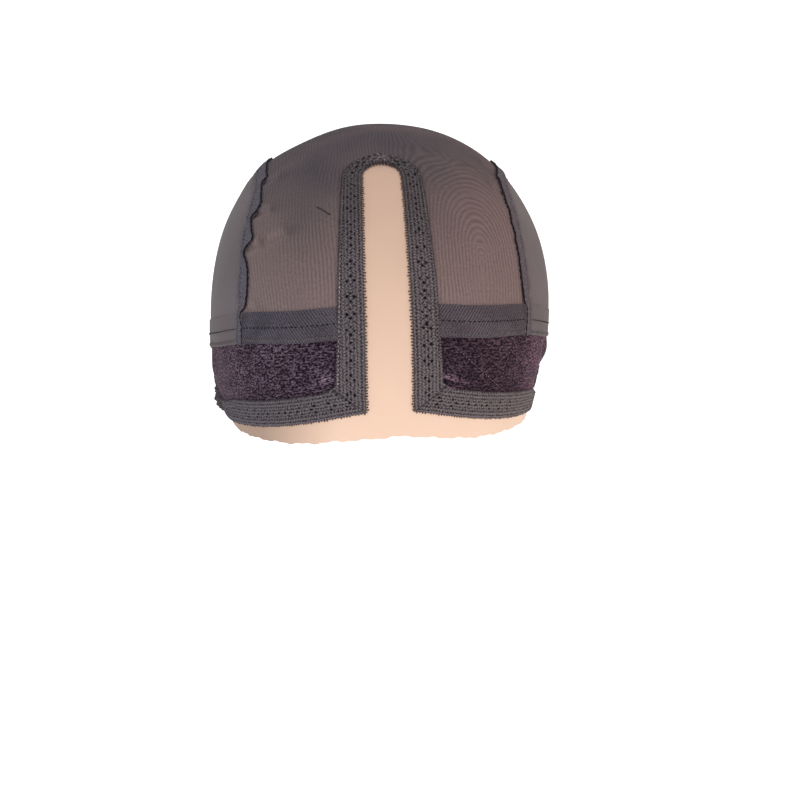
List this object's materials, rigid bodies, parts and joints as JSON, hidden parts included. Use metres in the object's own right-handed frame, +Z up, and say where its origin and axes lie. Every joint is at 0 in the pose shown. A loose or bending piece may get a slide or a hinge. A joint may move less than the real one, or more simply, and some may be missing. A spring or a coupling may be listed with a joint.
{
  "type": "wig cap",
  "caption": "Close-fitting stretch-mesh wig cap with a U-shaped lace parting, velvet front grip and gathered nape casing.",
  "frame": {"origin": "where the cap sits on the head: the inside of the crown at its highest point", "axes": "+Z up, the forehead faces -Y, +X to the wearer's left"},
  "size_m": [0.1547, 0.1868, 0.1422],
  "materials": {
    "crown_mesh": "sheer fine stretch mesh, matt",
    "side_mesh": "fine stretch mesh, matt, smooth",
    "velvet": "aubergine velvet pile",
    "lace": "nude fine net lace",
    "elastic": "perforated knitted elastic",
    "band_mesh": "doubled mesh with a diagonal weave",
    "seam_tape": "overlocked seam, matt",
    "casing": "gathered elastic casing, matt"
  },
  "bodies": {
    "root": {"crown_panel": "crown_mesh", "side_panel_left": "side_mesh", "side_panel_right": "side_mesh", "velvet_left": "velvet", "velvet_right": "velvet", "lace_front": "lace", "elastic_trim": "elastic", "band_front_left": "band_mesh", "band_front_right": "band_mesh", "band_side_left": "band_mesh", "band_side_right": "band_mesh", "seam_tape_left": "seam_tape", "seam_tape_right": "seam_tape", "nape_band": "casing"}
  },
  "joints": []
}
